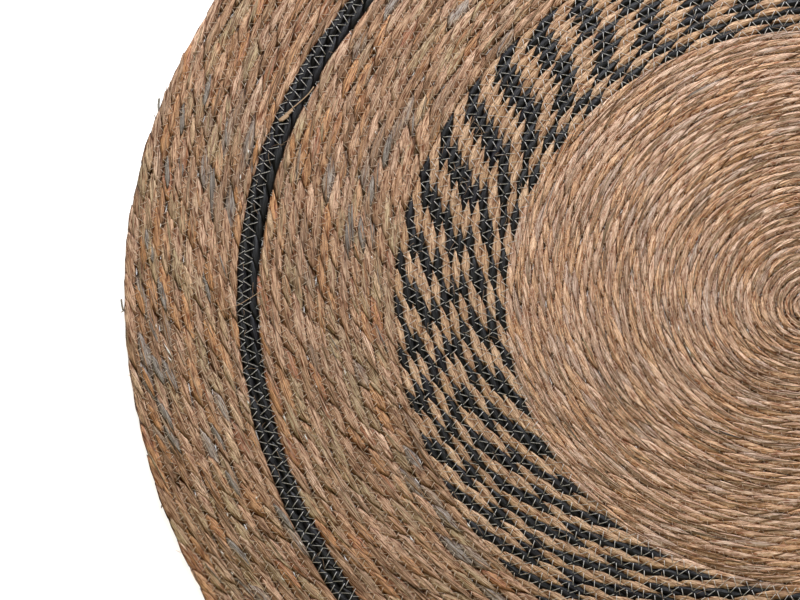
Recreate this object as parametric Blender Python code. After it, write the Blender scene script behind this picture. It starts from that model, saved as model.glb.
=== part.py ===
"""A round rug wound as one spiral of two-ply plant-fibre rope and sewn row to row.

Five lengths of rope follow each other along the spiral: a plain centre, a band of two-coloured rope,
a plain middle, two rows of black rope and a plain rim. Each length is one closed solid with a flat
underside and one raised rib for each row. Metres, +Z up, the origin in the middle of the underside.
"""

from collections import namedtuple
from math import tau

import bpy
import numpy as np

# Driving dimensions. Lengths are in metres, and places along the spiral in turns from its start.
STATIONS = 48  # cross-sections in one turn
START_ANGLE = 157 / 360  # the spiral starts here, in turns counter-clockwise from +X
CORE_RADIUS = 0.0036  # the rope's own end, which the first row winds around
GAP = 0.0003  # between one length of rope and the next
GROOVE_SHARE = 0.68  # the height of the groove between two rows, as a share of the rope's
TAPER_TURNS = 0.20  # over this much of its last turn the rim's rope thins out
TAPER_WIDTH = 0.30  # to this share of its width
RIM_RADIUS = 0.600  # only scales the unevenness below

# The lengths of rope from the centre outwards: where each ends, the spacing of its rows, the height
# of its ribs and its colour.
Rope = namedtuple("Rope", "name end pitch height colour")
ROPES = (
    Rope("centre_field", 37.575, 0.00715, 0.0070, (0.42, 0.28, 0.16)),
    Rope("patterned_band", 49.575, 0.00810, 0.0078, (0.22, 0.16, 0.11)),
    Rope("middle_field", 61.4375, 0.00990, 0.0090, (0.37, 0.26, 0.17)),
    Rope("black_ring", 63.4375, 0.00840, 0.0080, (0.02, 0.02, 0.03)),
    Rope("rim_field", 73.4, 0.01010, 0.0092, (0.37, 0.26, 0.17)),
)

# A hand-laid spiral strays a little from round: waves around the rug and their height at the rim.
# They grow with the cube of the radius, as the outer rows stray the most.
Wave = namedtuple("Wave", "count height phase")
WAVES = (Wave(2, 0.0031, 4.43), Wave(3, 0.0031, 0.565), Wave(5, 0.0040, 5.38))


def clear_scene():
    for old in list(bpy.data.objects):
        bpy.data.objects.remove(old, do_unlink=True)


def groove_radius(turn):
    """The radius of the groove inside the row that lies at this place on the spiral.

    It grows by one pitch in each turn, and changes pitch half a turn after a rope ends.
    """
    knots, radii = [1.0], [CORE_RADIUS]
    for rope in ROPES:
        knots.append(rope.end + (1.5 if rope is ROPES[-1] else 0.5))
        radii.append(radii[-1] + (knots[-1] - knots[-2]) * rope.pitch)
    return np.interp(turn, knots, radii)


def place(station, radius, along=0.0):
    """The x and y of a point at this station and radius, moved along the rope by a small distance."""
    angle = tau * (START_ANGLE - station / STATIONS)
    stray = sum(w.height * np.sin(w.count * angle + w.phase) for w in WAVES)
    radius = radius + stray * (radius / RIM_RADIUS) ** 3
    x = radius * np.cos(angle) + along * np.sin(angle)
    y = radius * np.sin(angle) - along * np.cos(angle)
    return x, y


class Solid:
    """The points and faces of one length of rope, from its first station to its last."""

    def __init__(self, first, last, height):
        self.first, self.last, self.height = first, last, height
        self.points, self.faces = [], []
        self.top, self.crest, self.bottom = {}, {}, {}

    def add(self, x, y, z):
        self.points.append((float(x), float(y), float(z)))
        return len(self.points) - 1

    def face(self, *corners):
        """One face, its corners given as they turn seen from inside the solid."""
        self.faces.append(corners[::-1])

    def along(self, station):
        """Half a gap forwards at the rope's start, and half a gap back at its end."""
        if station in (self.first, self.first + STATIONS):
            return GAP / 2
        if station in (self.last, self.last + STATIONS):
            return -GAP / 2
        return 0.0

    def groove(self, station, last_rope):
        """The groove's radius at a station, moved in from a neighbour, and thinned at the rim's end."""
        radius = groove_radius(station / STATIONS)
        if self.first <= station <= self.first + STATIONS:
            return radius + GAP / 2
        if station >= self.last and last_rope:
            inner = groove_radius(station / STATIONS - 1)
            left = (self.last + STATIONS - station) / (TAPER_TURNS * STATIONS)
            return inner + (radius - inner) * min(1.0, TAPER_WIDTH + (1 - TAPER_WIDTH) * left)
        if station >= self.last:
            return radius - GAP / 2
        return radius

    def add_points(self, last_rope):
        for station in range(self.first, self.last + STATIONS + 1):
            x, y = place(station, self.groove(station, last_rope), self.along(station))
            self.top[station] = self.add(x, y, self.height * GROOVE_SHARE)
            if station <= self.first + STATIONS or station >= self.last:
                self.bottom[station] = self.add(x, y, 0.0)
        for station in range(self.first, self.last + 1):
            middle = self.groove(station, last_rope) + self.groove(station + STATIONS, last_rope)
            along = self.along(station) if station in (self.first, self.last) else 0.0
            x, y = place(station, middle / 2, along)
            self.crest[station] = self.add(x, y, self.height)

    def add_ribs(self):
        """Two faces for each row and station: from groove to crest, and down to the next groove."""
        for near in range(self.first, self.last):
            far = near + 1
            out_near, out_far = near + STATIONS, far + STATIONS
            self.face(self.top[near], self.crest[near], self.crest[far], self.top[far])
            self.face(self.crest[near], self.top[out_near], self.top[out_far], self.crest[far])

    def add_outer_wall(self):
        for near in range(self.last, self.last + STATIONS):
            far = near + 1
            self.face(self.top[near], self.bottom[near], self.bottom[far], self.top[far])

    def add_inner_wall(self):
        for near in range(self.first, self.first + STATIONS):
            far = near + 1
            self.face(self.bottom[near], self.top[near], self.top[far], self.bottom[far])

    def add_ends(self, has_core):
        start, past = self.first, self.first + STATIONS
        if has_core:
            self.face(self.top[start], self.top[past], self.crest[start])
        else:
            self.face(
                self.bottom[start], self.bottom[past], self.top[past], self.crest[start], self.top[start]
            )
        stop, beyond = self.last, self.last + STATIONS
        self.face(
            self.bottom[stop], self.top[stop], self.crest[stop], self.top[beyond], self.bottom[beyond]
        )

    def outer_edge(self, step):
        """The underside's outer corners over one step of the turn, from its far end to its near end."""
        near = self.last + (step - self.last) % STATIONS
        corners = [self.bottom[near + 1], self.bottom[near]]
        if near + 1 == self.last + STATIONS:
            corners.insert(0, self.bottom[self.last])
        return corners

    def add_underside(self):
        for step in range(STATIONS):
            near = self.first + (step - self.first) % STATIONS
            inner = [self.bottom[near], self.bottom[near + 1]]
            if near == self.first:
                inner.insert(0, self.bottom[self.first + STATIONS])
            self.face(*inner, *self.outer_edge(step))

    def add_core(self):
        """The flat end of the rope in the middle, and the underside as a fan from the centre."""
        above = self.add(0, 0, self.height * GROOVE_SHARE)
        below = self.add(0, 0, 0)
        for near in range(self.first, self.first + STATIONS):
            corners = [above, self.top[near], self.top[near + 1]]
            if near + 1 == self.first + STATIONS:
                corners.append(self.top[self.first])
            self.face(*corners)
        for step in range(STATIONS):
            self.face(below, *self.outer_edge(step))


def rope_solid(index):
    """One length of rope: ribs above, walls and ends, and a flat underside."""
    rope = ROPES[index]
    starts_at = ROPES[index - 1].end if index else 1.0
    solid = Solid(round(starts_at * STATIONS), round(rope.end * STATIONS), rope.height)
    solid.add_points(last_rope=rope is ROPES[-1])
    solid.add_ribs()
    solid.add_outer_wall()
    solid.add_ends(has_core=index == 0)
    if index == 0:
        solid.add_core()
    else:
        solid.add_inner_wall()
        solid.add_underside()
    return solid


def rope_material(rope):
    material = bpy.data.materials.new(rope.name)
    material.use_nodes = True
    shader = material.node_tree.nodes["Principled BSDF"]
    shader.inputs["Base Color"].default_value = (*rope.colour, 1.0)
    shader.inputs["Roughness"].default_value = 0.85
    shader.inputs["Metallic"].default_value = 0.0
    return material


def used_points(solid):
    """The solid's points that a face uses, and its faces counted in them."""
    used = sorted({corner for face in solid.faces for corner in face})
    index = {old: new for new, old in enumerate(used)}
    points = np.array([solid.points[old] for old in used])
    return points, [[index[corner] for corner in face] for face in solid.faces]


def main():
    clear_scene()
    shapes = [used_points(rope_solid(index)) for index in range(len(ROPES))]
    every_point = np.concatenate([points for points, _ in shapes])
    middle = (every_point.min(axis=0) + every_point.max(axis=0)) / 2
    middle[2] = 0.0
    for rope, (points, faces) in zip(ROPES, shapes):
        mesh = bpy.data.meshes.new(rope.name)
        mesh.from_pydata((points - middle).tolist(), [], faces)
        mesh.materials.append(rope_material(rope))
        bpy.context.scene.collection.objects.link(bpy.data.objects.new(rope.name, mesh))


main()
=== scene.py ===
"""A round rug of twisted plant-fibre rope, wound as one spiral and sewn row to row with a zigzag thread.

Run as a script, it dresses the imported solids: every rope gets its two twisted plies, every joint
between two rows its zigzag, and the top its loose strips and fibres. Metres, +Z up.
"""

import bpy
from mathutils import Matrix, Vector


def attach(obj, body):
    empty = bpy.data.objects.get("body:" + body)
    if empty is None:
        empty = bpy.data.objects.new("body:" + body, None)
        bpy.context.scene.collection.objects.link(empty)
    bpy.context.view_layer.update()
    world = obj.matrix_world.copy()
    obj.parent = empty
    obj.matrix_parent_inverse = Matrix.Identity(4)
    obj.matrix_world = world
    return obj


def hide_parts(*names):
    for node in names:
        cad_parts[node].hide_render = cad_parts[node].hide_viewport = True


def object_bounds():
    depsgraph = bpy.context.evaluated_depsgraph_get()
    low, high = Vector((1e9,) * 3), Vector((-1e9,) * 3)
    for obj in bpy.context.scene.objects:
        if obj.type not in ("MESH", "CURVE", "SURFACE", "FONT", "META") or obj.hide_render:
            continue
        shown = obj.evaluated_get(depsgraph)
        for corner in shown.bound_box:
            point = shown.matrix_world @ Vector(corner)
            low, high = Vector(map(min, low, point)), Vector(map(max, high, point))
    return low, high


bl_info = {
    "name": "Coiled Rope Rug",
    "version": (1, 0, 0),
    "blender": (4, 5, 0),
    "location": "3D View > Sidebar > Rug",
    "description": "Twisted rope, zigzag sewing and loose fibres for a coiled round rug",
    "category": "Object",
}

from collections import namedtuple
from math import cos, pi, radians, sin, tau

import bpy
import numpy as np

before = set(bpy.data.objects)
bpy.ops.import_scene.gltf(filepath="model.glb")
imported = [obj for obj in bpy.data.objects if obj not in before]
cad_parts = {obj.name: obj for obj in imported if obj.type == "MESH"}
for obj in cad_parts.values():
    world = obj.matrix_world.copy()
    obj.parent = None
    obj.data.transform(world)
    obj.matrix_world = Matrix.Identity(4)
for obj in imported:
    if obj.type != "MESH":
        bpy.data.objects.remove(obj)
CAD_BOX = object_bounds()

# ---------------------------------------------------------------------------------------------
# The spiral, as in the solids. Places along it are in turns from its start, lengths in metres.
# ---------------------------------------------------------------------------------------------

STATIONS = 48  # cross-sections in one turn of the solids
START_ANGLE = 157 / 360  # where the spiral starts, in turns counter-clockwise from +X
CORE_RADIUS = 0.0036  # the middle of the solids, which their first row winds around
RIM_RADIUS = 0.600  # only scales the waves below
TAPER_TURNS = 0.20  # over this much of its last turn the rim's rope thins out
TAPER_WIDTH = 0.30  # to this share of its width

# One length of rope: its node and slot, where it ends, the spacing of its rows and its height, the
# length of one full twist and how much that varies, how far its rows stray sideways, how much its
# plies swell and shrink, how far a leaf leans along the row between its middle and its end, as a
# share of a twist, and the size of the rope's plan, as (width, length, area).
Rope = namedtuple("Rope", "node slot end pitch height lay lay_spread stray swell lean flat")
ROPES = (
    Rope("centre_field", "plain_rope_fine", 37.575, 0.00715, 0.0070, 0.041, 0.16, 0.00035, 0.13, 0.24,
         (0.536, 0.536, 0.2255)),
    Rope("patterned_band", "two_colour_rope", 49.575, 0.00810, 0.0078, 0.0465, 0.0, 0.00030, 0.06, 0.19,
         (0.730, 0.730, 0.1926)),
    Rope("middle_field", "plain_rope", 61.4375, 0.00990, 0.0090, 0.050, 0.20, 0.00080, 0.18, 0.19,
         (0.966, 0.966, 0.3125)),
    Rope("black_ring", "black_rope", 63.4375, 0.00840, 0.0080, 0.047, 0.10, 0.00025, 0.06, 0.19,
         (0.0168, 3.09, None)),
    Rope("rim_field", "plain_rope", 73.4, 0.01010, 0.0092, 0.052, 0.20, 0.00080, 0.18, 0.19,
         (0.1006, 3.455, None)),
)  # fmt: skip

# A hand-laid spiral strays a little from round: waves around the rug and their height at the rim.
# They grow with the cube of the radius.
Wave = namedtuple("Wave", "count height phase")
WAVES = (Wave(2, 0.0031, 4.43), Wave(3, 0.0031, 0.565), Wave(5, 0.0040, 5.38))

# Where the light ply of the two-coloured rope comes to the top, row by row from the inside: the
# number of the row, and five places in degrees before the row's middle, three full twists apart.
Chart = namedtuple("Chart", "row first second middle fourth fifth")
BAND_CHART = (
    Chart(37, 62.5, 33.7, 5.8, -23.0, -51.3),
    Chart(38, 58.8, 32.5, -1.6, -31.1, -59.0),
    Chart(39, 53.7, 28.4, 0.9, -27.3, -57.3),
    Chart(40, 49.6, 24.2, -2.1, -29.5, -57.1),
    Chart(41, 50.3, 25.0, 0.5, -24.5, -51.0),
    Chart(42, 54.4, 30.8, 2.2, -24.4, -51.2),
    Chart(43, 51.4, 27.4, 3.3, -25.0, -52.6),
    Chart(44, 46.3, 21.5, -3.1, -26.9, -50.3),
    Chart(45, 47.3, 23.8, -2.4, -27.2, -51.8),
    Chart(46, 46.9, 24.2, 2.3, -21.3, -44.1),
    Chart(47, 50.7, 27.7, 1.3, -21.6, -44.2),
    Chart(48, 39.5, 18.2, -3.2, -24.8, -47.0),
)
CHART_TWISTS = 3  # full twists from one place of the chart to the next
ROW_MIDDLE = START_ANGLE + 0.5  # the chart's 0 degrees, as a share of a turn past the row's number


def smooth_noise(where, spacing, seed):
    """Random heights from -1 to 1, one every spacing, joined by smooth steps."""
    steps = np.asarray(where, float) / spacing
    left = np.floor(steps).astype(int)
    heights = np.random.default_rng(seed).uniform(-1, 1, left.max() + 2)
    blend = steps - left
    blend = blend * blend * (3 - 2 * blend)
    return heights[left] * (1 - blend) + heights[left + 1] * blend


def even_groove(turn):
    """The radius of the groove inside the row at this place: it grows by one pitch in each turn."""
    knots, radii = [1.0], [CORE_RADIUS]
    for rope in ROPES:
        knots.append(rope.end + (1.5 if rope is ROPES[-1] else 0.5))
        radii.append(radii[-1] + (knots[-1] - knots[-2]) * rope.pitch)
    return np.interp(turn, knots, radii)


def place(turn, radius):
    """The x and y of points at these turns and radii, with the rug's slow waves out of round."""
    angle = tau * (START_ANGLE - turn)
    stray = sum(w.height * np.sin(w.count * angle + w.phase) for w in WAVES)
    radius = radius + stray * (radius / RIM_RADIUS) ** 3
    return radius * np.cos(angle) + SHIFT[0], radius * np.sin(angle) + SHIFT[1]


def rug_shift():
    """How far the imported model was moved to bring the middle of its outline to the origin."""
    last = round(ROPES[-1].end * STATIONS)
    station = np.arange(last, last + STATIONS + 1)
    inner, outer = even_groove(station / STATIONS - 1), even_groove(station / STATIONS)
    left = (last + STATIONS - station) / (TAPER_TURNS * STATIONS)
    outline = inner + (outer - inner) * np.minimum(1.0, TAPER_WIDTH + (1 - TAPER_WIDTH) * left)
    x, y = place(station / STATIONS, outline)
    low, high = (np.array(corner[:2]) for corner in CAD_BOX)
    return (low + high) / 2 - np.array([x.min() + x.max(), y.min() + y.max()]) / 2


SHIFT = np.zeros(2)  # place() adds it, also while it is worked out
SHIFT = rug_shift()

# The length of the rope from its start to each of many places, along the middle of its row.
TURNS = np.arange(0.0, 75.0, 1 / 1440)
MIDDLES = (even_groove(TURNS) + even_groove(TURNS + 1)) / 2
LENGTHS = np.concatenate([[0.0], np.cumsum(tau * MIDDLES[1:] * np.diff(TURNS))])


def length_at(turn):
    return np.interp(turn, TURNS, LENGTHS)


def by_rope(turn, name):
    """One value of the rope at each place, changing over a quarter turn at each splice."""
    values = [getattr(rope, name) for rope in ROPES]
    knots, heights = [0.0], [values[0]]
    for number, rope in enumerate(ROPES[:-1]):
        knots += [rope.end, rope.end + 0.25]
        heights += [values[number], values[number + 1]]
    return np.interp(turn, knots, heights)


ROPE_START = 0.03  # the place of the rope's end in the middle of the rug

# From there the rope winds out to the first row: places in turns, and how far the groove there is
# moved inwards.
CORE_WINDING = ((0.35, 1.0), (CORE_RADIUS, 0.0))

# The black rows are laid a little wider than the even spacing: places in turns, and how far the
# groove there is moved outwards.
RING_SPREAD = (
    (61.44, 61.50, 62.40, 62.50, 62.88, 62.96, 63.40, 63.50, 63.88, 63.96, 64.40, 64.60),
    (0.0, -0.0003, 0.0003, 0.0006, 0.0006, 0.0014, 0.0010, 0.0012, 0.0012, 0.0026, 0.0016, 0.0),
)


def groove(turn):
    """The even groove, moved to and fro along the rope as a hand-fed row is, in waves of random
    height 0.16 m and 0.045 m apart."""
    length = length_at(turn)
    stray = 0.65 * smooth_noise(length, 0.16, 11) + 0.35 * smooth_noise(length, 0.045, 12)
    stray = stray * by_rope(turn, "stray")
    return even_groove(turn) + stray - np.interp(turn, *CORE_WINDING) + np.interp(turn, *RING_SPREAD)


def charted(row, degrees):
    """The place, the radius and the share of the way across its row of each charted spot, from the
    number of the row with that share added, and the degrees before the row's middle."""
    whole = np.floor(row)
    turn, share = whole + ROW_MIDDLE - degrees / 360, row - whole
    return turn, groove(turn) * (1 - share) + groove(turn + 1) * share, share


# ---------------------------------------------------------------------------------------------
# Settings that a user may change
# ---------------------------------------------------------------------------------------------


def linear(code):
    """An sRGB hex colour as linear red, green, blue and full cover."""
    parts = [int(code[k : k + 2], 16) / 255 for k in (1, 3, 5)]
    return (*[p / 12.92 if p <= 0.04045 else ((p + 0.055) / 1.055) ** 2.4 for p in parts], 1.0)


def colour_property(name, code, description):
    return bpy.props.FloatVectorProperty(
        name=name, description=description, subtype="COLOR", size=4, min=0, max=1, default=linear(code)
    )


def length_property(name, metres, description):
    return bpy.props.FloatProperty(
        name=name, description=description, default=metres, min=0, unit="LENGTH", precision=5
    )


class RugSizes(bpy.types.PropertyGroup):
    thread: length_property("Thread", 0.00068, "Diameter of the sewing thread")
    zigzag_width: length_property("Zigzag width", 0.0064, "From one edge of the zigzag to the other")
    zigzag_length: length_property("Zigzag length", 0.0118, "One full zigzag along the rope")
    hair: length_property("Hair", 0.00034, "Diameter of a loose fibre")
    strips: bpy.props.FloatProperty(
        name="Loose strips",
        description="Strips on the plain rope, for each of its leaves",
        default=1.3,
        min=0,
    )
    hairs: bpy.props.IntProperty(
        name="Loose hairs", description="Fine fibres on the rug", default=3000, min=0
    )


class RugColours(bpy.types.PropertyGroup):
    straw: colour_property("Straw", "#bd9f82", "The light ply of the two-coloured rope")
    tan: colour_property("Tan", "#ac8d73", "Most leaves of the plain rope")
    fine_tan: colour_property("Fine tan", "#b69f8b", "Most leaves of the fine centre rope")
    black: colour_property("Black", "#101015", "The dyed leaves")
    thread: colour_property("Thread", "#f2efeb", "The sewing thread of the black and two-coloured rows")
    plain_thread: colour_property("Plain thread", "#efdcc6", "The sewing thread of the plain rows")
    floor: colour_property("Floor", "#f4f3f1", "The floor")


# ---------------------------------------------------------------------------------------------
# Materials
# ---------------------------------------------------------------------------------------------


def add(tree, kind, links, out=0, stops=(), **settings):
    """Adds a node and gives one of its outputs. links has a socket or a value for each input, and
    stops are a colour ramp's (place, colour) pairs, where a number stands for a grey."""
    made = tree.nodes.new("ShaderNode" + kind)
    for name, value in settings.items():
        setattr(made, name, value)
    for key, value in links.items():
        if isinstance(value, bpy.types.NodeSocket):
            tree.links.new(value, made.inputs[key])
        else:
            made.inputs[key].default_value = value
    for number, (at, colour) in enumerate(stops):
        elements = made.color_ramp.elements
        element = elements[number] if number < 2 else elements.new(at)
        element.position = at
        element.color = colour if isinstance(colour, tuple) else (colour, colour, colour, 1.0)
    return made.outputs[out]


def new_material(name):
    material = bpy.data.materials.new(name)
    material.use_nodes = True
    tree = material.node_tree
    return material, tree, tree.nodes["Principled BSDF"]


def tones(base, leaves):
    """Ramp stops for leaves of several kinds, as (share of the leaves, hex colour or None for base)."""
    stops, at = [], 0.0
    for share, code in leaves:
        stops.append((at, tuple(base) if code is None else linear(code)))
        at += share
    return stops


def leaf_material(name, base, leaves, shade, gain, spread, gloss):
    """Flat dried leaf, dampened, folded and twisted: the eye sees each leaf in its own tone, with
    lengthwise fibres and folds, small flecks, dull, and painted brown shade where its edges go down into
    the creases and its ends into the grooves.

    The map's U runs across a leaf and V along it, and the whole part of V is the leaf's number. The
    tones of the leaves are made gain times as bright, give or take half the spread from leaf to leaf.
    Dark fibres, flecks and folds are the tone times the hex colour shade, and so are a leaf's edges and
    ends, where that darkening is painted shade of the creases and grooves. Gloss is 0 for a dull leaf
    and near 0.5 for a waxy one.
    """
    material, tree, shader = new_material(name)
    uv = add(tree, "UVMap", {}, uv_map="rope")
    across = add(tree, "SeparateXYZ", {0: uv}, "X")
    along = add(tree, "SeparateXYZ", {0: uv}, "Y")
    number = add(tree, "Math", {0: along}, operation="FLOOR")
    chance = add(tree, "TexWhiteNoise", {"W": number}, noise_dimensions="1D")
    chances = add(tree, "TexWhiteNoise", {"W": number}, "Color", noise_dimensions="1D")
    light = add(tree, "SeparateColor", {0: chances}, "Green")
    light = add(tree, "Math", {0: light, 1: spread, 2: gain - spread / 2}, operation="MULTIPLY_ADD")

    # The fibres run along the leaf's long diagonal, because each ply is twisted against the rope.
    # Folds of 2 to 3 mm, fibres of 0.8 mm, drawn coarser than the real 0.2 mm so that they show, and
    # flecks of 1 mm. A leaf is about 12 mm across its fibres and 50 mm along them.
    sideways = add(tree, "VectorMath", {0: uv, 1: (1.0, -1.19, 0.0)}, "Value", operation="DOT_PRODUCT")
    lengthways = add(tree, "VectorMath", {0: uv, 1: (1.0, 1.19, 0.0)}, "Value", operation="DOT_PRODUCT")
    grain = add(tree, "CombineXYZ", {0: sideways, 1: lengthways})
    spot = add(tree, "VectorMath", {0: grain, 1: (2.6, 0.8, 1.0)}, operation="MULTIPLY")
    fold = add(tree, "TexNoise", {"Vector": spot, "Scale": 1.0, "Detail": 1.0})
    spot = add(tree, "VectorMath", {0: grain, 1: (8.5, 2.0, 1.0)}, operation="MULTIPLY")
    fibre = add(tree, "TexNoise", {"Vector": spot, "Scale": 1.0, "Detail": 2.0, "Roughness": 0.6})
    spot = add(tree, "VectorMath", {0: uv, 1: (13.0, 18.0, 1.0)}, operation="MULTIPLY")
    fleck = add(tree, "TexNoise", {"Vector": spot, "Scale": 1.0, "Detail": 2.0, "Roughness": 0.6})

    # Leaves of one bunch follow each other, so that their kinds come in runs along the rope.
    run = add(tree, "TexNoise", {"W": number, "Scale": 0.12, "Detail": 0.0}, noise_dimensions="1D")
    kind = add(tree, "Math", {0: fold, 1: 0.30, 2: -0.40}, operation="MULTIPLY_ADD")
    kind = add(tree, "Math", {0: run, 1: 0.80, 2: kind}, operation="MULTIPLY_ADD")
    kind = add(tree, "Math", {0: chance, 1: 0.70, 2: kind}, operation="MULTIPLY_ADD")
    tone = add(tree, "ValToRGB", {0: kind}, stops=tones(base, leaves))
    darker, middle = linear(shade), tuple((1 + part) / 2 for part in linear(shade))
    painted_groove_shade = tuple(part / 2 for part in darker)
    strokes = add(tree, "ValToRGB", {0: fibre}, stops=[(0.38, darker), (0.46, middle), (0.54, 1.0)])
    dots = add(tree, "ValToRGB", {0: fleck}, stops=[(0.30, darker), (0.42, 0.88), (0.62, 1.0)])
    bends = add(tree, "ValToRGB", {0: fold}, stops=[(0.32, middle), (0.52, 0.92), (0.68, 1.0)])
    # Painted shade: the leaf turns darker towards its long edges, where they go down into the creases
    # between leaves.
    edge = add(tree, "Math", {0: across, 1: 0.5}, operation="SUBTRACT")
    edge = add(tree, "Math", {0: edge}, operation="ABSOLUTE")
    edges = add(tree, "ValToRGB", {0: edge}, stops=[(0.43, 1.0), (0.50, darker)])
    # Painted shade, deepest of all: the leaf turns darkest at its ends, down in the grooves between
    # rows, in spots broken up by the flecks.
    end = add(tree, "Math", {0: along}, operation="FRACT")
    end = add(tree, "Math", {0: end, 1: 0.5}, operation="SUBTRACT")
    end = add(tree, "Math", {0: end}, operation="ABSOLUTE")
    end = add(tree, "Math", {0: fleck, 1: -0.30, 2: end}, operation="MULTIPLY_ADD")
    ends = add(tree, "ValToRGB", {0: end}, stops=[(0.21, 1.0), (0.30, painted_groove_shade)])

    colour = tone
    for layer in (strokes, dots, bends, edges, ends):
        colour = add(tree, "VectorMath", {0: colour, 1: layer}, operation="MULTIPLY")
    colour = add(tree, "VectorMath", {0: colour, 3: light}, operation="SCALE")
    tree.links.new(colour, shader.inputs["Base Color"])

    rough = add(tree, "Math", {0: fibre, 1: -0.3, 2: 0.95 - gloss}, operation="MULTIPLY_ADD")
    tree.links.new(rough, shader.inputs["Roughness"])
    shader.inputs["Specular IOR Level"].default_value = 0.6 * gloss
    relief = add(tree, "Math", {0: fibre, 1: 0.5, 2: fold}, operation="MULTIPLY_ADD")
    relief = add(tree, "Math", {0: fleck, 1: 0.2, 2: relief}, operation="MULTIPLY_ADD")
    bump = add(tree, "Bump", {"Strength": 0.8, "Distance": 0.0010, "Height": relief})
    tree.links.new(bump, shader.inputs["Normal"])
    return material


# The tones of each rope's leaves, as (share of the leaves, hex colour or None for the main one).
TAN_LEAVES = (
    (0.06, "#8d8680"), (0.09, "#978777"), (0.08, "#8a6d55"), (0.10, "#9c7f66"), (0.20, None),
    (0.12, "#b29680"), (0.05, "#9c8c70"), (0.12, "#a5866b"), (0.04, "#ae855f"), (0.02, "#a0745f"),
    (0.06, "#937862"), (0.06, "#bea48e"),
)  # fmt: skip
FINE_LEAVES = (
    (0.12, "#9c826d"), (0.20, None), (0.20, "#b29984"), (0.12, "#b79879"), (0.14, "#c2aa95"),
    (0.12, "#a7978b"), (0.10, "#ae8d6f"),
)  # fmt: skip
STRAW_LEAVES = ((0.25, "#ae9072"), (0.30, None), (0.20, "#c7ab8e"), (0.25, "#b99a7a"))
BLACK_LEAVES = ((0.30, None), (0.25, "#0f1318"), (0.25, "#150f14"), (0.20, "#130f20"))
ONE_TONE = ((0.5, None), (0.5, None))  # a colour ramp has two stops at least

# What the tones are multiplied by in their dark fibres and flecks, and as painted shade in their creases
# and grooves.
BROWN_SHADE, FINE_SHADE, GREY_SHADE = "#845a3b", "#905c36", "#55555f"
STRIP_SHADE, MARK_SHADE = "#7a6352", "#765e4d"

# The gloss of dried leaf, and of leaf that is dyed and so a little waxy.
DRIED, DYED = 0.25, 0.45


def rug_materials():
    """The leaf of each kind of rope, by the rope's slot."""
    colours = bpy.context.scene.rug_colours
    plain = leaf_material("dried_leaf_rope", colours.tan, TAN_LEAVES, BROWN_SHADE, 1.90, 0.5, DRIED)
    fine = leaf_material(
        "dried_leaf_rope_fine", colours.fine_tan, FINE_LEAVES, FINE_SHADE, 2.24, 0.2, DRIED
    )
    straw = leaf_material("straw_leaf_rope", colours.straw, STRAW_LEAVES, BROWN_SHADE, 1.70, 0.3, DRIED)
    dyed = leaf_material("dyed_leaf_rope", colours.black, BLACK_LEAVES, GREY_SHADE, 0.50, 0.7, DYED)
    return {
        "plain_rope": plain, "plain_rope_fine": fine, "two_colour_rope": straw, "black_rope": dyed,
    }  # fmt: skip


def thread_material(name, colour):
    """Spun cotton sewing thread: a dull pale line with a fine twist, a turn of it every 0.7 mm. Single
    strands, flakes and frayed ends of leaf have the same dull surface and grain, in their colours."""
    material, tree, shader = new_material(name)
    spot = add(tree, "TexCoord", {}, "Object")
    twist = add(tree, "TexNoise", {"Vector": spot, "Scale": 1500.0, "Detail": 1.0})
    colour = tuple(colour)
    dark = tuple(0.7 * c for c in colour[:3]) + (1.0,)
    shades = add(tree, "ValToRGB", {0: twist}, stops=[(0.35, dark), (0.6, colour)])
    tree.links.new(shades, shader.inputs["Base Color"])
    shader.inputs["Roughness"].default_value = 0.7
    bump = add(tree, "Bump", {"Strength": 0.4, "Distance": 0.0002, "Height": twist})
    tree.links.new(bump, shader.inputs["Normal"])
    return material


def floor_material():
    """White acrylic lit from below, as in a product studio: pale and even, with only a faint grain,
    in patches of 0.3 m."""
    material, tree, shader = new_material("lit_white_acrylic")
    spot = add(tree, "TexCoord", {}, "Object")
    grain = add(tree, "TexNoise", {"Vector": spot, "Scale": 3.0, "Detail": 2.0})
    colour = tuple(bpy.context.scene.rug_colours.floor)
    dark = tuple(0.985 * c for c in colour[:3]) + (1.0,)
    shades = add(tree, "ValToRGB", {0: grain}, stops=[(0.3, dark), (0.7, colour)])
    tree.links.new(shades, shader.inputs["Base Color"])
    shader.inputs["Roughness"].default_value = 0.9
    shader.inputs["Emission Color"].default_value = (1.0, 1.0, 1.0, 1.0)
    shader.inputs["Emission Strength"].default_value = 0.8
    return material


# ---------------------------------------------------------------------------------------------
# Surfaces
# ---------------------------------------------------------------------------------------------


def mesh_object(name, points, quads, triangles, materials, uv=None, slots=None):
    """A mesh from arrays: points, four- and three-cornered faces, one UV for each corner, and the
    number of each face's material."""
    mesh = bpy.data.meshes.new(name)
    corners = np.concatenate([quads.ravel(), triangles.ravel()]).astype(np.int32)
    sizes = np.concatenate([np.full(len(quads), 4), np.full(len(triangles), 3)]).astype(np.int32)
    mesh.vertices.add(len(points))
    mesh.vertices.foreach_set("co", points.astype(np.float32).ravel())
    mesh.loops.add(len(corners))
    mesh.loops.foreach_set("vertex_index", corners)
    mesh.polygons.add(len(sizes))
    starts = np.concatenate([[0], np.cumsum(sizes)[:-1]]).astype(np.int32)
    mesh.polygons.foreach_set("loop_start", starts)
    mesh.update(calc_edges=True)
    mesh.polygons.foreach_set("use_smooth", np.ones(len(sizes), bool))
    if uv is not None:
        layer = mesh.uv_layers.new(name="rope")
        layer.data.foreach_set("uv", uv.astype(np.float32).ravel())
    for material in materials:
        mesh.materials.append(material)
    if slots is not None:
        mesh.polygons.foreach_set("material_index", slots.astype(np.int32))
    mesh.validate()
    made = bpy.data.objects.new(name, mesh)
    bpy.context.scene.collection.objects.link(made)
    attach(made, "root")
    return made


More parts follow.
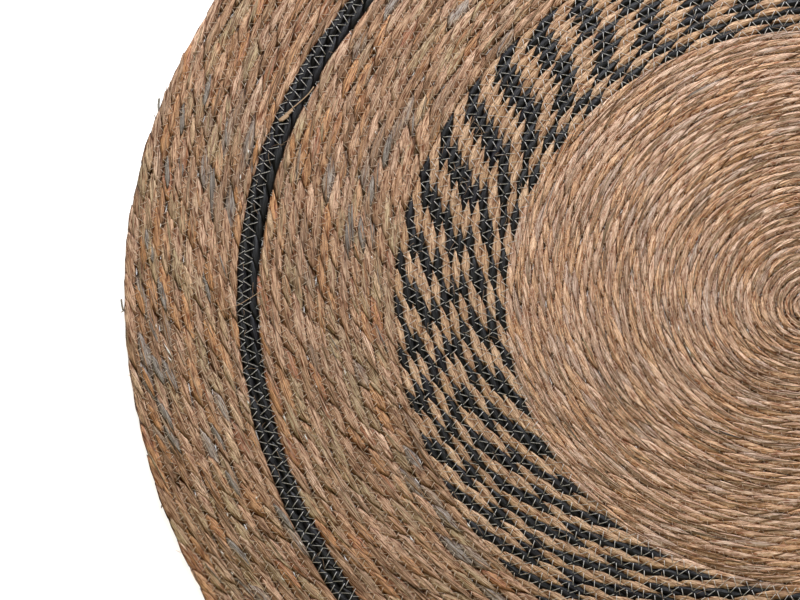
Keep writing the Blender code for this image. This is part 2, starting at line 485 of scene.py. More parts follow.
def tube_faces(rings, sides):
    """Faces of a closed tube of rings x sides points, with one more point at each end as its tip."""
    ring = np.arange(rings - 1)[:, None] * sides
    side = np.arange(sides)[None, :]
    after = (side + 1) % sides
    quads = np.stack([ring + side, ring + after, ring + sides + after, ring + sides + side], -1)
    start, end = rings * sides, rings * sides + 1
    side, after = side[0], after[0]
    last = (rings - 1) * sides
    cap_a = np.stack([np.full(sides, start), after, side], -1)
    cap_b = np.stack([np.full(sides, end), last + side, last + after], -1)
    return quads.reshape(-1, 4), np.concatenate([cap_a, cap_b])


# The section of the rope under the leaves, as equal steps round it from one crease: how far each
# point is from the middle. The second ply repeats the first.
PLY_SECTION = (0.78, 1.0, 1.0)
RINGS_PER_TWIST = 6  # cross-sections in one full twist
FULLNESS = 2.6  # a section of power 2 is round, and a higher power is squarer, as sewn rope is
OVERLAP = 1.06  # neighbouring rows press a little into each other
CORE_HEIGHT = 0.93  # the rope under the leaves, as a share of the height with them
CORE_SWELL = 0.35  # how much it swells and shrinks, as a share of the plies with their leaves
SECOND_PLY = 5000  # added to the number of a leaf in the second ply
SPLICE_LENGTH = 0.030  # over this length a rope's end thins out beside the next one's start
SPLICE_TIP = 0.2  # to this share of its width
ROW_ARCH = 0.30  # how far a row's top falls from its middle to its groove, as a share of its height


def band_twists(turn):
    """Twists of the two-coloured rope: through the chart, and whole twists in between its rows."""
    places, counts = [], []
    for row in BAND_CHART:
        for step, degrees in enumerate(row[1:]):
            here = row.row + ROW_MIDDLE - degrees / 360
            if not places:
                counts.append(100)
            elif step == 0:
                gap = length_at(here) - length_at(places[-1])
                counts.append(counts[-1] + round(gap / ROPES[1].lay))
            else:
                counts.append(counts[-1] + CHART_TWISTS)
            places.append(here)
    before, after = turn.min() - 1e-6, turn.max() + 1e-6
    first = counts[0] - (length_at(places[0]) - length_at(before)) / ROPES[1].lay
    last = counts[-1] + (length_at(after) - length_at(places[-1])) / ROPES[1].lay
    return np.interp(turn, [before, *places, after], [first, *counts, last])


def plain_twists(turn, rope, seed):
    """Twists of a plain rope: length over lay, with the lay slowly longer and shorter, in waves of
    random height 0.22 m and 0.07 m apart."""
    length = length_at(turn)
    rate = 1 + rope.lay_spread * smooth_noise(length, 0.22, seed)
    rate = rate + 0.6 * rope.lay_spread * smooth_noise(length, 0.07, seed + 1)
    steps = np.diff(length) * (rate[1:] + rate[:-1]) / 2 / rope.lay
    return 1 + np.concatenate([[0.0], np.cumsum(steps)])


def rope_run(index):
    """Places all along one rope, past both of its splices, and its twists at each."""
    rope = ROPES[index]
    first, last = (ROPES[index - 1].end if index else ROPE_START), rope.end
    spare = SPLICE_LENGTH / 2 / (tau * even_groove(np.array([first, last]) + 0.5))
    turn = np.arange(first - (spare[0] if index else 0), last + spare[1], 1 / 2880)
    twist = band_twists(turn) if index == 1 else plain_twists(turn, rope, 100 + 10 * index)
    return turn, twist


def row_edges(index, turn):
    """The middle and half the width of a rope's row, how full its section is, at each place.

    The row lies between its two grooves. Over a splice's length the end of a rope thins out along
    its inner groove, while the start of the next one grows from its outer groove.
    """
    run, _ = rope_run(index)
    inner, outer = groove(turn), groove(turn + 1)
    length, first, last = length_at(turn), *length_at(run[[0, -1]])
    tip = SPLICE_TIP
    grow = np.clip((length - first) / SPLICE_LENGTH, 0, 1) * (1 - tip) + tip if index else 1.0
    shrink = np.clip((last - length) / SPLICE_LENGTH, 0, 1) * (1 - tip) + tip
    middle, half = (inner + outer) / 2, (outer - inner) / 2
    return middle + half * (shrink - grow), half * grow * shrink, grow * shrink


def crown(across):
    """The top of the rows as a share of their height, at a sideways place in half rows from a row's
    middle: a low arch over each row, so it repeats every 2."""
    return 1 - ROW_ARCH * np.abs((across + 1) % 2 - 1) ** 3


def core_surface(index, materials):
    """The rope's body: a closed skin on rings along its run, with U across a ply and V in twists.

    The section's points turn against the travel by one turn for each twist. Each is pushed from a
    circle onto a power curve, squeezed between the grooves on both sides and kept above the floor.
    """
    rope = ROPES[index]
    turn, twist = rope_run(index)
    rings = int((twist[-1] - twist[0]) * RINGS_PER_TWIST)
    ring_twist = np.linspace(twist[0], twist[-1], rings)
    ring_turn = np.interp(ring_twist, twist, turn)
    middle, half, full = row_edges(index, ring_turn)
    half, height = half * OVERLAP, rope.height * CORE_HEIGHT * full**0.5

    sides = 2 * len(PLY_SECTION)
    angle = tau * (0.25 - ring_twist)[:, None] + tau * (np.arange(sides) / sides - 0.25)
    rough = np.random.default_rng(200 + index).uniform(-1, 1, (rings, sides))
    reach = np.array(PLY_SECTION * 2) * (1 + CORE_SWELL * rope.swell * rough)
    across, up = np.cos(angle), np.sin(angle)
    push = reach / (np.abs(across) ** FULLNESS + np.abs(up) ** FULLNESS) ** (1 / FULLNESS)
    z = (1 + push * up) / 2 * height[:, None]
    x, y = place(ring_turn[:, None], middle[:, None] + half[:, None] * push * across)
    points = np.stack([x, y, np.maximum(z, 0.0)], -1)

    quads, caps = tube_faces(rings, sides)
    tips = points[[0, -1]].mean(1)
    everything = np.concatenate([points.reshape(-1, 3), tips])
    side = np.broadcast_to(np.arange(sides), (rings - 1, sides))
    ply = side // len(PLY_SECTION)
    u = (side % len(PLY_SECTION)) / len(PLY_SECTION)
    # V changes leaf where its ply is down in the rope, half a twist later in one than in the other.
    number = np.where(ply, SECOND_PLY, 0.5)
    near, far = ring_twist[:-1, None] + number, ring_twist[1:, None] + number
    step = 1 / len(PLY_SECTION)
    quad_uv = np.stack([u, near, u + step, near, u + step, far, u, far], -1).reshape(-1, 2)
    cap_uv = np.repeat([[0.3, ring_twist[0]], [0.3, ring_twist[-1]]], 3 * sides, 0)
    slots = np.concatenate([ply.ravel() * (len(materials) - 1), np.zeros(2 * sides)])
    made = mesh_object(
        f"{rope.node}_rope", everything, quads, caps, materials, np.concatenate([quad_uv, cap_uv]), slots
    )
    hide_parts(rope.node)
    return made


# Leaves on the rope: where the middle of each is, in turns, the row's radius and half width there,
# how far the leaf lies to the side, half its length along the row, its reach to each side as a
# share of half the row, how far it leans along the row from its middle to its end, how high it
# stands, how much one edge is above the other, the height of its fold and its number.
Leaves = namedtuple("Leaves", "turn radius row aside half reach lean raised tilt fold number")

# How leaves are cut: the places a and b of their points, what share shorter along the row they are
# at their ends than in their middle, and how far their edges go down.
Cut = namedtuple("Cut", "across along narrowing dip")
ROPE_LEAF = Cut((-1.0, -0.55, 0.0, 0.55, 1.0), (-1.0, -0.6, 0.0, 0.6, 1.0), 0.06, 0.0006)
MARKED_LEAF = ROPE_LEAF._replace(narrowing=0.3, dip=0.0005)
STRIP = Cut((-1.0, 0.0, 1.0), (-1.0, -0.4, 0.4, 1.0), 0.5, 0.0003)
TIP = 1.14  # a leaf's tips reach past its ends, to this share of its reach
TIP_DEPTH = 0.0012  # and lie this far lower
LEAF_DEPTH = 0.0022  # the line of points that closes a leaf lies this far below its top
FLOOR_GAP = 0.0005  # and no point of it comes nearer to the floor
LEAF_MAP = 0.42  # how far V goes from a leaf's middle to its end


def leaf_surfaces(leaves, rope_height, cut):
    """Closed leaves that lie over a row, as one mesh.

    A leaf is a leaning four-sided patch. Its place (a, b) has a from -1 to 1 between its two long
    edges and b from -1 to 1 from the inner groove to the outer: it is b times the reach sideways,
    and a times the half length plus b times the lean along the row. Its height is the row's arch,
    less dip times |a| to the power 2.5 where the edge goes down into the crease, plus the tilt and
    a fold. One line of points below closes it, and its two tips go down into the grooves.
    """
    a, b = np.array(cut.across), np.array(cut.along)
    count = len(leaves.turn)
    columns = [np.asarray(part)[:, None, None] for part in leaves]
    turn, radius, row, aside, half, reach, lean, raised, tilt, fold, number = columns

    def spot(a, b, sink):
        share = aside / row + b * reach
        run = a * half * (1 - cut.narrowing * b**2) + b * lean
        x, y = place(turn + run / (tau * radius), radius + share * row)
        z = rope_height * crown(share) - cut.dip * np.abs(a) ** 2.5 + tilt * a
        z = z + fold * np.cos(2.6 * pi * a + number) * (1 - b**2) + raised - sink
        return np.stack([x, y, np.maximum(z, FLOOR_GAP)], -1)

    centre, ends = np.zeros((1, 1, 1)), np.array([-TIP, TIP])
    top = spot(a[None, None, :], b[None, :, None], 0.0)
    below = spot(centre, b[None, :, None], LEAF_DEPTH)
    rings = np.concatenate([top, below], 2)
    tips = spot(centre, ends[None, :, None], TIP_DEPTH)
    points = np.concatenate([rings.reshape(count, -1, 3), tips.reshape(count, 2, 3)], 1)
    sides = len(a) + 1
    quads, caps = tube_faces(len(b), sides)
    first = np.arange(count)[:, None, None] * points.shape[1]
    ring_u = np.append((a + 1) / 2, 0.5)
    u = np.append(np.tile(ring_u, len(b)), [0.5, 0.5])
    v = np.append(np.repeat(b, sides), ends) * LEAF_MAP + 0.5
    uv = np.tile(np.stack([u, v], -1), (count, 1, 1))
    uv[:, :, 1] += np.asarray(leaves.number)[:, None]
    corner_uv = [uv[:, faces.ravel()].reshape(-1, 2) for faces in (quads, caps)]
    return (
        points.reshape(-1, 3),
        (quads + first).reshape(-1, 4),
        (caps + first).reshape(-1, 3),
        np.concatenate(corner_uv),
    )


def leaf_object(name, leaves, rope_height, cut, material):
    """Leaves over rows of this height, as one piece."""
    points, quads, caps, uv = leaf_surfaces(leaves, rope_height, cut)
    return mesh_object(name, points, quads, caps, [material], uv)


LEAF_HALF = 0.295  # half the length of a leaf along the row, as a share of a full twist
UNEVEN_SWELL = 0.16  # a rope whose plies swell this much has leaves as uneven as rope_leaves() says
STRIP_NUMBERS, MARK_NUMBERS = 10000, 20000  # added to the numbers of their leaves
LONG_STRIPS = 0.12  # the share of the strips that are longer


def rope_leaves(index, ply):
    """The leaves of one ply of a rope: one for each full twist, where the ply comes to the top."""
    rope = ROPES[index]
    turn, twist = rope_run(index)
    tops = np.arange(np.ceil(twist[0]), twist[-1]) + (0.5 if ply else 0.0)
    tops = tops[(tops > twist[0] + 0.1) & (tops < twist[-1] - 0.1)]
    rng = np.random.default_rng(500 + 10 * index + ply)
    count = len(tops)
    uneven = rope.swell / UNEVEN_SWELL
    shifted = tops + uneven * 0.05 * rng.uniform(-1, 1, count)
    middle = np.interp(shifted, twist, turn)
    lay = np.gradient(length_at(np.interp(tops, twist, turn))) / np.gradient(tops)
    radius, row, _ = row_edges(index, middle)
    return Leaves(
        turn=middle,
        radius=radius,
        row=row,
        aside=row * uneven * 0.12 * rng.uniform(-1, 1, count),
        half=lay * (LEAF_HALF + uneven * 0.05 * rng.uniform(-1, 1, count)),
        reach=1.0 + uneven * 0.12 * rng.uniform(-0.6, 1, count),
        lean=lay * rope.lean * (1 + uneven * 0.3 * rng.uniform(-1, 1, count)),
        raised=0.0002 + uneven * 0.0004 * rng.uniform(-1, 1, count),
        tilt=uneven * 0.0003 * rng.uniform(-1, 1, count),
        fold=(0.0001 + uneven * 0.0003) * rng.uniform(0, 1, count),
        number=2 * np.arange(count) + ply,
    )


def rope_strips(index, share):
    """Narrow strips on a rope's leaves, picked at random, share strips to a leaf. They lie nearly as
    their leaves do, and lean more along the row."""
    rng = np.random.default_rng(700 + index)
    both = [rope_leaves(index, ply) for ply in (0, 1)]
    leaves = Leaves(*[np.concatenate(parts) for parts in zip(*both)])
    picked = rng.choice(len(leaves.turn), int(share * len(leaves.turn)))
    leaves = Leaves(*[part[picked] for part in leaves])
    count = len(picked)
    shift = rng.uniform(-0.75, 0.75, count) * leaves.half
    long = rng.random(count) < LONG_STRIPS
    return leaves._replace(
        turn=leaves.turn + shift / (tau * leaves.radius),
        aside=leaves.row * rng.uniform(-0.5, 0.5, count),
        half=leaves.half * rng.uniform(0.12, 0.34, count),
        reach=rng.uniform(0.35, 0.9, count) + 0.3 * long,
        lean=leaves.lean * (rng.uniform(1.1, 2.1, count) + 0.6 * long),
        raised=leaves.raised + rng.uniform(0.0002, 0.0007, count),
        tilt=0.0003 * rng.uniform(-1, 1, count),
        fold=np.zeros(count),
        number=leaves.number + STRIP_NUMBERS,
    )


# Leaves that differ from their neighbours, by kind: the number of the row with the share of the way
# across it added, and the degrees before the row's middle.
MARKS = {
    "grey": (
        (70.7, -18.2), (70.6, -13.0), (71.0, -5.7), (69.7, -1.2), (70.6, 2.0), (70.5, 6.0),
        (70.6, 10.2), (70.5, 12.6), (66.6, 13.4), (66.6, 18.4), (69.6, -14.0), (69.7, -21.5),
        (63.6, 23.3), (65.8, -2.0), (52.5, -22.0), (52.5, -16.0), (52.4, -10.0), (68.6, 24.8),
    ),
    "orange": (
        (71.5, -5.0), (71.6, -0.6), (71.5, 7.0), (71.5, 10.5), (71.4, 13.5), (60.6, 4.2),
        (64.0, -11.5), (63.6, -17.0), (65.6, -3.0), (60.5, 11.0), (60.4, -18.5),
    ),
    "pale": (
        (64.5, 1.8), (64.5, 7.2), (64.5, 11.8), (64.5, 23.0), (65.5, 1.0), (69.6, -4.5), (72.5, 7.2),
        (69.5, -17.4), (67.4, -2.6), (60.5, -17.8), (60.5, -9.5), (60.5, -5.0), (50.5, -3.0),
        (51.5, -29.0), (72.5, -14.0), (65.5, 14.5),
    ),
}  # fmt: skip

# Flakes painted near white as glints of light off the straw: the row with its share and the degrees, as
# above, and the length.
FLAKES = (
    (69.40, 4.4, 0.019), (69.34, 5.2, 0.009), (70.24, -7.7, 0.006), (70.30, 1.9, 0.005),
    (64.26, -16.8, 0.007), (64.26, -13.9, 0.007), (63.10, 10.5, 0.005), (71.06, 24.5, 0.005),
    (69.94, 26.4, 0.005), (69.90, 24.3, 0.006), (68.06, 21.1, 0.005), (69.00, 28.2, 0.005),
    (66.20, 29.1, 0.006), (63.20, 26.7, 0.009), (65.10, 20.5, 0.004), (60.10, 13.0, 0.011),
    (58.80, 15.8, 0.009), (53.90, 8.8, 0.009), (49.15, 34.5, 0.007), (35.50, -51.2, 0.005),
    (49.15, 33.2, 0.004), (58.20, -33.2, 0.004), (33.50, -66.0, 0.004), (50.15, -12.8, 0.004),
    (54.10, -23.8, 0.004), (51.15, -7.0, 0.003), (56.70, 10.0, 0.003), (15.85, 21.5, 0.012),
    (16.15, 10.2, 0.010),
)  # fmt: skip


def marked_leaves(kind):
    """The marked leaves of one kind, on top of the rope's own leaves and lying as they do."""
    spots = np.array(MARKS[kind])
    row = np.floor(spots[:, 0])
    turn = row + ROW_MIDDLE - spots[:, 1] / 360
    rng = np.random.default_rng(800 + len(spots))
    inner, outer = groove(turn), groove(turn + 1)
    half_row = (outer - inner) / 2
    return Leaves(
        turn=turn,
        radius=(inner + outer) / 2,
        row=half_row,
        aside=half_row * (2 * (spots[:, 0] - row) - 1),
        half=rng.uniform(0.007, 0.011, len(spots)),
        reach=rng.uniform(0.70, 0.95, len(spots)),
        lean=rng.uniform(0.009, 0.012, len(spots)),
        raised=rng.uniform(0.0006, 0.0010, len(spots)),
        tilt=rng.uniform(-0.0003, 0.0003, len(spots)),
        fold=np.full(len(spots), 0.0003),
        number=MARK_NUMBERS + np.arange(len(spots)),
    )


FLAKE_RISE, FLAKE_THICKNESS = 0.0012, 0.0008  # its middle over the row, and from top to bottom


def flake_solids(spots):
    """Flat closed lozenges on the rows: two tips, two side corners, and a point above and below."""
    row, degrees, length = np.array(spots).T
    turn, radius, share = charted(row, degrees)
    rng = np.random.default_rng(77)
    half = np.stack([length / 2, rng.uniform(0.0005, 0.0009, len(row))])
    slant = rng.normal(0.15, 0.2, len(row))
    tall = by_rope(turn, "height") * crown(2 * share - 1) + FLAKE_RISE
    middle = np.stack([*place(turn, radius), tall], -1)
    angle = tau * (START_ANGLE - turn) - pi / 2 + slant
    ahead = np.stack([np.cos(angle), np.sin(angle), 0 * angle], -1) * half[0][:, None]
    aside = np.stack([-np.sin(angle), np.cos(angle), 0 * angle], -1) * half[1][:, None]
    up = np.array([0.0, 0.0, FLAKE_THICKNESS / 2])
    points = np.stack(
        [middle + ahead, middle + aside, middle - ahead, middle - aside, middle + up, middle - up], 1
    )
    upper = np.array([[0, 1, 4], [1, 2, 4], [2, 3, 4], [3, 0, 4]])
    faces = np.concatenate([upper, upper[:, ::-1] + [[1, 0, 0]]])
    first = np.arange(len(points))[:, None, None] * 6
    return points.reshape(-1, 3), (faces + first).reshape(-1, 3)


def strand_path(spots, rise):
    """A path over the rug, straight from spot to spot, each the row with its share and the degrees.
    It has 12 points, and lies at the height of the rows plus the rise."""
    row, degrees = np.array(spots).T
    step, fine = np.arange(len(row)), np.linspace(0, len(row) - 1, 12)
    turn, radius, _ = charted(np.interp(fine, step, row), np.interp(fine, step, degrees))
    x, y = place(turn, radius)
    return np.stack([x, y, by_rope(turn, "height") + rise], -1)


def hair_paths(amount):
    """Short bent fibres all over the rows, each of five points.

    A hair sets off near the row's direction, turns by its bend along its length, and rises in its
    middle by half a sine wave.
    """
    rng = np.random.default_rng(41)
    turn = rng.uniform(3.0, 73.2, amount)
    start = np.stack([*place(turn, groove(turn + 0.5)), by_rope(turn, "height")], -1)
    heading = tau * (START_ANGLE - turn) - pi / 2 + rng.normal(0, 0.5, amount)
    bend = rng.normal(0, 0.5, amount)
    reach = rng.uniform(0.005, 0.016, amount)
    t = np.linspace(0, 1, 5)
    angle = heading[:, None] + bend[:, None] * t
    move = np.stack([np.cos(angle), np.sin(angle)], -1) * (reach[:, None, None] / 4)
    path = start[:, None, :2] + np.cumsum(move, 1)
    rise = 0.0004 + rng.uniform(0, 0.0012, amount)[:, None] * np.sin(pi * t)
    return np.concatenate([path, (start[:, 2:3] + rise)[:, :, None]], -1)


def strand_tubes(paths, radius, sides=3):
    """Closed tubes round many paths of the same number of points, as an array paths x points x 3.

    Each point's tangent is the line between its neighbours. The section is a polygon spanned by the
    level direction across the tangent and the direction upright to both.
    """
    strands, count = paths.shape[:2]
    tangent = np.gradient(paths, axis=1)
    tangent /= np.linalg.norm(tangent, axis=2, keepdims=True) + 1e-12
    level = np.cross([0.0, 0.0, 1.0], tangent)
    level /= np.linalg.norm(level, axis=2, keepdims=True) + 1e-12
    upright = np.cross(tangent, level)
    angle = tau * (np.arange(sides) / sides + 0.25)
    ring = level[:, :, None] * np.cos(angle)[:, None] + upright[:, :, None] * np.sin(angle)[:, None]
    rings = paths[:, :, None] + radius * ring
    ends = [paths[:, 0] - tangent[:, 0] * radius, paths[:, -1] + tangent[:, -1] * radius]
    points = np.concatenate([rings.reshape(strands, -1, 3), np.stack(ends, 1)], 1)
    quads, caps = tube_faces(count, sides)
    first = np.arange(strands)[:, None, None] * points.shape[1]
    return points.reshape(-1, 3), (quads + first).reshape(-1, 4), (caps + first).reshape(-1, 3)


# Where the zigzags of the black rows lie off their grooves: places in turns, and how far outwards.
RING_SHIFT = (
    (61.44, 61.50, 61.90, 61.95, 62.38, 62.44, 62.90, 62.93, 63.40, 63.44, 63.50, 64.38, 64.44),
    (0.0, 0.0010, 0.0010, -0.0022, -0.0022, -0.0010, -0.0015, 0.0, 0.0, -0.0008, -0.0024, -0.0024, 0.0),
)


def stitch_prisms(paths, radius):
    """Straight three-sided prisms between pairs of points, closed by a triangle at each end."""
    along = paths[:, 1] - paths[:, 0]
    along /= np.linalg.norm(along, axis=1, keepdims=True)
    level = np.cross([0.0, 0.0, 1.0], along)
    level /= np.linalg.norm(level, axis=1, keepdims=True)
    upright = np.cross(along, level)
    angle = tau * (np.arange(3) / 3 + 0.25)
    ring = level[:, None] * np.cos(angle)[:, None] + upright[:, None] * np.sin(angle)[:, None]
    points = paths[:, :, None] + radius * ring[:, None]
    quads = np.array([[0, 1, 4, 3], [1, 2, 5, 4], [2, 0, 3, 5]])
    caps = np.array([[0, 2, 1], [3, 4, 5]])
    first = np.arange(len(paths))[:, None, None] * 6
    return points.reshape(-1, 3), (quads + first).reshape(-1, 4), (caps + first).reshape(-1, 3)


# Where the thread of a zigzag comes up and goes down, as shares of a period, and on which side of the
# groove: it goes out over 0.34, passes below for 0.13, comes back over 0.34 and passes below again.
STITCH_ENDS, STITCH_SIDES = (0.0, 0.34, 0.47, 0.81), (-1.0, 1.0, 1.0, -1.0)
THREAD_RISE = 0.0005  # the middle of the thread over the row


def stitches(first, last, seed, width, period, sunk):
    """The slanting stretches of the zigzag thread that show along a groove, two to each period.

    Each stretch is straight, from one row's arch to the next one's, and lies up to sunk deeper. The
    period varies slowly by 8 percent and the width by 12, and the line sways by up to 0.4 mm.
    """
    turn = np.arange(first, last, 1 / 2880)
    radius = groove(turn)
    length = np.concatenate([[0.0], np.cumsum(tau * (radius[1:] + radius[:-1]) / 2 * np.diff(turn))])
    rate = 1 + 0.08 * smooth_noise(length, 0.30, seed)
    count = np.concatenate([[0.0], np.cumsum(np.diff(length) * rate[1:] / period)])
    whole = np.arange(0, int(count[-1]))
    rng = np.random.default_rng(seed)
    corners = whole[:, None] + np.array(STITCH_ENDS)
    corners = corners + rng.normal(0, 0.022, corners.shape)
    here = np.interp(corners, count, turn)
    middle = groove(here)
    sway = np.interp(here, *RING_SHIFT) + 0.0004 * smooth_noise(corners, 9.0, seed + 1)
    uneven = 1 + 0.12 * rng.uniform(-1, 1, corners.shape)
    across = np.array(STITCH_SIDES) * width / 2 * uneven + sway
    share = 1 - np.abs(across) / (by_rope(here, "pitch") / 2)
    x, y = place(here, middle + across)
    depth = sunk * rng.random((len(whole), 1)) * [1, 1, 0.3, 0.3]
    z = by_rope(here, "height") * crown(share) + THREAD_RISE - depth
    return np.stack([x, y, z], -1).reshape(-1, 2, 3)


# One zigzag along a groove: its first and last place, its width and length and the thickness of its
# thread as shares of their settings, how deep it sinks in, and whether it sews plain rows.
Run = namedtuple("Run", "name first last width length thick sunk plain")
CENTRE_END, BAND_END, MIDDLE_END, RING_END = (rope.end for rope in ROPES[:-1])
RUNS = (
    Run("sewing_centre", 1.6, CENTRE_END, 0.65, 0.75, 0.60, 0.0012, True),
    Run("sewing_band", CENTRE_END, BAND_END, 1.0, 1.0, 1.0, 0.0, False),
    Run("sewing_middle", BAND_END, MIDDLE_END, 0.80, 0.90, 0.85, 0.0003, True),
    Run("sewing_ring_inside", MIDDLE_END, MIDDLE_END + 1, 0.90, 0.95, 0.9, 0.0, False),
    Run("sewing_ring", MIDDLE_END + 1, RING_END, 1.15, 1.05, 1.0, 0.0, False),
    Run("sewing_ring_outside", RING_END, RING_END + 1, 0.85, 0.89, 1.0, 0.0, False),
    Run("sewing_rim", RING_END + 1, 73.38, 0.80, 0.90, 0.85, 0.0003, True),
)

# The strips on plain ropes: the number of the rope, and how many of the setting it has.
STRIP_SHARES = ((0, 0.8), (2, 1.0), (4, 1.0))
MARK_COLOURS = (("grey", "#8c857e"), ("orange", "#ab805a"), ("pale", "#c4a88a"))

# Loose strands: the spots of the path, each the row with its share and the degrees, the radius, and
# the height of its middle over the rows. The tail of a strand of plain rope lies on the black rows
# in three overlapping lengths, one fibre lies across them, and frayed ends stand out of the rim.
Strand = namedtuple("Strand", "name spots radius rise")
TAIL = ((62.55, -21.2), (62.2, -21.9), (61.9, -22.8), (61.5, -23.8), (61.15, -24.9), (60.98, -26.0))
FIBRE = ((64.8, 0.5), (64.0, 0.3), (63.0, -0.05), (61.9, -0.8), (60.9, -1.6), (60.2, -2.1))
TAIL_EDGE = [(row - 0.3, degrees) for row, degrees in TAIL[:2]]
TAIL_MIDDLE = [(row - 0.13, degrees + 0.1) for row, degrees in TAIL[:3]]
STRANDS = (
    Strand("loose_tail", TAIL, 0.0005, 0.0009),
    Strand("loose_fibre", FIBRE, 0.0003, 0.0017),
    Strand("loose_tail_edge", TAIL_EDGE, 0.0011, 0.0009),
    Strand("loose_tail_middle", TAIL_MIDDLE, 0.0010, 0.0009),
)
FRAY_RISE = -0.0035
FRAYS = (
    Strand("frayed_end_0", ((72.95, -18.4), (73.2, -18.9), (73.38, -19.5)), 0.0012, FRAY_RISE),
    Strand("frayed_end_1", ((72.95, -17.6), (73.3, -18.0)), 0.0004, FRAY_RISE),
    Strand("frayed_end_2", ((72.95, 0.2), (73.3, 0.35)), 0.0004, FRAY_RISE),
    Strand("frayed_end_3", ((73.1, 0.15), (73.2, -0.3), (73.25, -0.8)), 0.0010, FRAY_RISE),
    Strand("frayed_end_4", ((72.95, 17.9), (73.3, 18.4)), 0.0006, FRAY_RISE),
)

FLOOR_SIZE = 8.0  # from edge to edge
FLOOR_DROP = 0.0002  # how far the floor lies below the rug, so that the two don't share a plane

# The light from all round is warm, and the lamps are a little cool. They face the origin.
AMBIENT_COLOUR, AMBIENT_STRENGTH = (1.08, 0.97, 0.58, 1.0), 0.29
LAMP_COLOUR = (0.97, 1.0, 1.11)
Lamp = namedtuple("Lamp", "name spot size watts")
LAMPS = (Lamp("key", (-0.15, 1.40, 1.12), 1.25, 39.5), Lamp("fill", (-1.2, -1.0, 2.6), 2.0, 2.0))

VIEW_TARGET = (-0.359, 0.0105)  # the point that the camera looks at, before SHIFT moves it
VIEW_ELEVATION = 66.0  # degrees up from the floor, on the rug's front side
VIEW_DISTANCE, VIEW_LENS = 5.82, 300  # in metres and millimetres


# ---------------------------------------------------------------------------------------------
# Operators
# ---------------------------------------------------------------------------------------------


class RUG_OT_rope(bpy.types.Operator):
    """Winds the five lengths of two-ply rope in place of their solids"""

    bl_idname = "rug.rope"
    bl_label = "Rope"

    def execute(self, context):
        materials = rug_materials()
        for index, rope in enumerate(ROPES):
            leaf = materials[rope.slot]
            second = materials["black_rope"] if rope.slot == "two_colour_rope" else leaf
            core = core_surface(index, [leaf] if second is leaf else [leaf, second])
            for ply, (name, material) in enumerate((("first", leaf), ("second", second))):
                leaves = rope_leaves(index, ply)
                piece = leaf_object(f"{rope.node}_{name}_ply", leaves, rope.height, ROPE_LEAF, material)
        return {"FINISHED"}


class RUG_OT_sewing(bpy.types.Operator):
    """Sews each row to the one inside it with a zigzag thread"""

    bl_idname = "rug.sewing"
    bl_label = "Sewing"

    def execute(self, context):
        sizes = context.scene.rug_sizes
        pale = thread_material("spun_grey_thread", context.scene.rug_colours.thread)
        plain = thread_material("spun_tan_thread", context.scene.rug_colours.plain_thread)
        for number, run in enumerate(RUNS):
            width, period = run.width * sizes.zigzag_width, run.length * sizes.zigzag_length
            paths = stitches(run.first, run.last, 300 + 5 * number, width, period, run.sunk)
            points, quads, caps = stitch_prisms(paths, sizes.thread / 2 * run.thick)
            mesh_object(run.name, points, quads, caps, [plain if run.plain else pale])
        return {"FINISHED"}


class RUG_OT_strips(bpy.types.Operator):
    """Lays loose strips of leaf on the plain ropes"""

    bl_idname = "rug.strips"
    bl_label = "Loose strips"

    def execute(self, context):
        colours = context.scene.rug_colours
        tan = leaf_material("loose_dried_leaf", colours.tan, TAN_LEAVES, STRIP_SHADE, 1.95, 0.5, DRIED)
        for index, share in STRIP_SHARES:
            strips = rope_strips(index, share * context.scene.rug_sizes.strips)
            leaf_object(f"{ROPES[index].node}_strips", strips, ROPES[index].height, STRIP, tan)
        return {"FINISHED"}


class RUG_OT_marks(bpy.types.Operator):
    """Lays the leaves that differ from their neighbours, and the flakes painted bright as glints"""

    bl_idname = "rug.marks"
    bl_label = "Odd leaves and flakes"

    def execute(self, context):
        for kind, code in MARK_COLOURS:
            name, colour = f"{kind}_dried_leaf", linear(code)
            leaf = leaf_material(name, colour, ONE_TONE, MARK_SHADE, 1.8, 0.3, DRIED)
            leaf_object(f"{kind}_leaves", marked_leaves(kind), ROPES[-1].height, MARKED_LEAF, leaf)
        points, triangles = flake_solids(FLAKES)
        # Painted highlight: the dull flakes are coloured near white to stand for glints of light off the
        # straw.
        bright = thread_material("straw_painted_glint", linear("#fbf7f0"))
        mesh_object("bright_flakes", points, np.zeros((0, 4), int), triangles, [bright])
        return {"FINISHED"}


class RUG_OT_strands(bpy.types.Operator):
    """Lays the loose strands across the rows, and the frayed ends at the rim"""

    bl_idname = "rug.strands"
    bl_label = "Strands and frayed ends"

    def execute(self, context):
        straw = thread_material("plain_strand", linear("#c8a888"))
        dull = thread_material("frayed_leaf_end", linear("#8b8478"))
        for strands, material in ((STRANDS, straw), (FRAYS, dull)):
            for strand in strands:
                path = strand_path(strand.spots, strand.rise)
                points, quads, caps = strand_tubes(path[None], strand.radius, 6)
                mesh_object(strand.name, points, quads, caps, [material])
        return {"FINISHED"}


class RUG_OT_hairs(bpy.types.Operator):
    """Scatters fine loose fibres over the rug"""

    bl_idname = "rug.hairs"
    bl_label = "Loose hairs"

    def execute(self, context):
        sizes, colours = context.scene.rug_sizes, context.scene.rug_colours
        points, quads, caps = strand_tubes(hair_paths(sizes.hairs), sizes.hair / 2)
        hair = leaf_material(
            "fine_plant_fibre", colours.straw, STRAW_LEAVES, STRIP_SHADE, 1.8, 0.4, DRIED
        )
        uv = np.full((4 * len(quads) + 3 * len(caps), 2), 0.5)
        mesh_object("loose_hairs", points, quads, caps, [hair], uv)
        return {"FINISHED"}


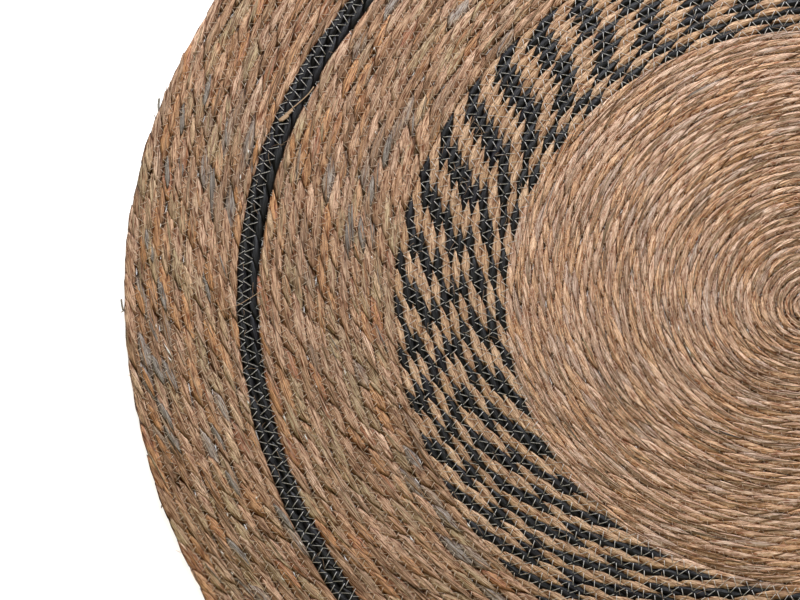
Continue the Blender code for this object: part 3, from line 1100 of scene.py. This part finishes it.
class RUG_OT_stage(bpy.types.Operator):
    """Sets up the floor, the soft lights and the camera"""

    bl_idname = "rug.stage"
    bl_label = "Floor, lights and camera"

    def execute(self, context):
        scene = context.scene
        half, z = FLOOR_SIZE / 2, -FLOOR_DROP
        mesh = bpy.data.meshes.new("floor")
        corners = [(-half, -half, z), (half, -half, z), (half, half, z), (-half, half, z)]
        mesh.from_pydata(corners, [], [(0, 1, 2, 3)])
        mesh.materials.append(floor_material())
        floor = bpy.data.objects.new("floor", mesh)
        scene.collection.objects.link(floor)

        world = bpy.data.worlds.new("studio")
        world.use_nodes = True
        background = world.node_tree.nodes["Background"]
        background.inputs["Color"].default_value = AMBIENT_COLOUR
        background.inputs["Strength"].default_value = AMBIENT_STRENGTH
        scene.world = world
        for lamp in LAMPS:
            light = bpy.data.lights.new(lamp.name, "AREA")
            light.size = lamp.size
            light.energy = lamp.watts
            light.color = LAMP_COLOUR
            made = bpy.data.objects.new(lamp.name, light)
            scene.collection.objects.link(made)
            made.location = lamp.spot
            x, y, z = np.array(lamp.spot) / np.linalg.norm(lamp.spot)
            made.rotation_euler = (np.arccos(z), 0, np.arctan2(y, x) + pi / 2)

        target = np.array([*(np.array(VIEW_TARGET) + SHIFT), 0.0])
        elevation = radians(VIEW_ELEVATION)
        camera = bpy.data.objects.new("camera", bpy.data.cameras.new("camera"))
        camera.data.lens = VIEW_LENS
        camera.data.sensor_width = 36
        camera.data.clip_end = 30
        camera.location = target + VIEW_DISTANCE * np.array([0, -cos(elevation), sin(elevation)])
        camera.rotation_euler = (pi / 2 - elevation, 0, 0)
        scene.collection.objects.link(camera)
        scene.camera = camera
        scene.view_settings.view_transform = "Standard"
        return {"FINISHED"}


class RUG_PT_panel(bpy.types.Panel):
    bl_idname = "RUG_PT_panel"
    bl_label = "Coiled rope rug"
    bl_space_type = "VIEW_3D"
    bl_region_type = "UI"
    bl_category = "Rug"

    def draw(self, context):
        for group in (context.scene.rug_sizes, context.scene.rug_colours):
            for name in group.__annotations__:
                self.layout.prop(group, name)
        for operator in OPERATORS:
            self.layout.operator(operator.bl_idname)


OPERATORS = (
    RUG_OT_rope, RUG_OT_sewing, RUG_OT_strips, RUG_OT_marks, RUG_OT_strands, RUG_OT_hairs, RUG_OT_stage,
)  # fmt: skip
CLASSES = (RugSizes, RugColours, *OPERATORS, RUG_PT_panel)


def register():
    for kind in CLASSES:
        bpy.utils.register_class(kind)
    bpy.types.Scene.rug_sizes = bpy.props.PointerProperty(type=RugSizes)
    bpy.types.Scene.rug_colours = bpy.props.PointerProperty(type=RugColours)


def unregister():
    del bpy.types.Scene.rug_colours
    del bpy.types.Scene.rug_sizes
    for kind in reversed(CLASSES):
        bpy.utils.unregister_class(kind)


def main():
    register()
    bpy.ops.rug.rope()
    bpy.ops.rug.sewing()
    bpy.ops.rug.strips()
    bpy.ops.rug.marks()
    bpy.ops.rug.strands()
    bpy.ops.rug.hairs()
    bpy.ops.rug.stage()


if __name__ == "__main__":
    main()
